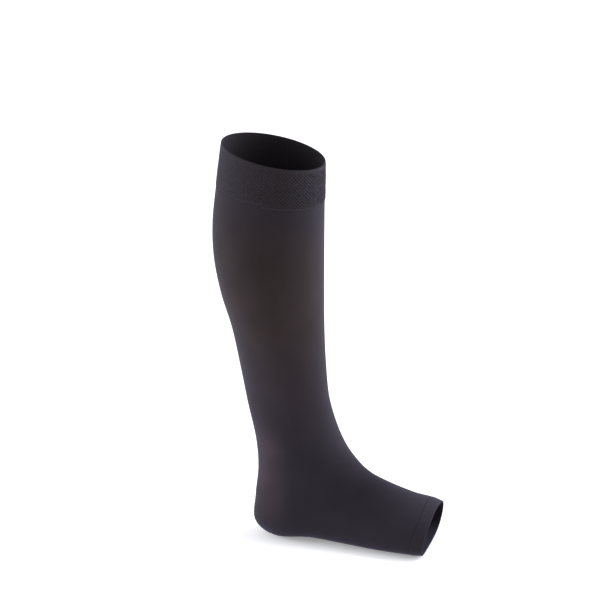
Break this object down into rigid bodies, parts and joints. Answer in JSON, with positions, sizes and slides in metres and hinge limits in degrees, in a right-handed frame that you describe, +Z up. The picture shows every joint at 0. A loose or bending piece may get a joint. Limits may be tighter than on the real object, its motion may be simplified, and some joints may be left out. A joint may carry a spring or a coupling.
{
  "type": "knee-high open-toe compression stocking",
  "caption": "Knee-high knitted compression stocking for a right leg, with an elastic top band and an open hemmed toe, in its worn shape.",
  "frame": {"origin": "middle of the top band, where the leg holds the stocking up", "axes": "+Z up along the leg, +X towards the toes, +Y towards the inner side of the leg and -Y towards its outer side"},
  "size_m": [0.2375, 0.1106, 0.4277],
  "materials": {
    "band_knit": "black elastic band in a fine diagonal bird's-eye knit, satin",
    "leg_knit": "black microfibre plain knit, very fine and smooth, with a soft violet satin sheen at grazing angles",
    "hem_knit": "black double-layer knit with a finely serrated edge, satin"
  },
  "bodies": {
    "root": {"top_band": "band_knit", "leg_and_foot": "leg_knit", "toe_hem": "hem_knit"}
  },
  "joints": []
}
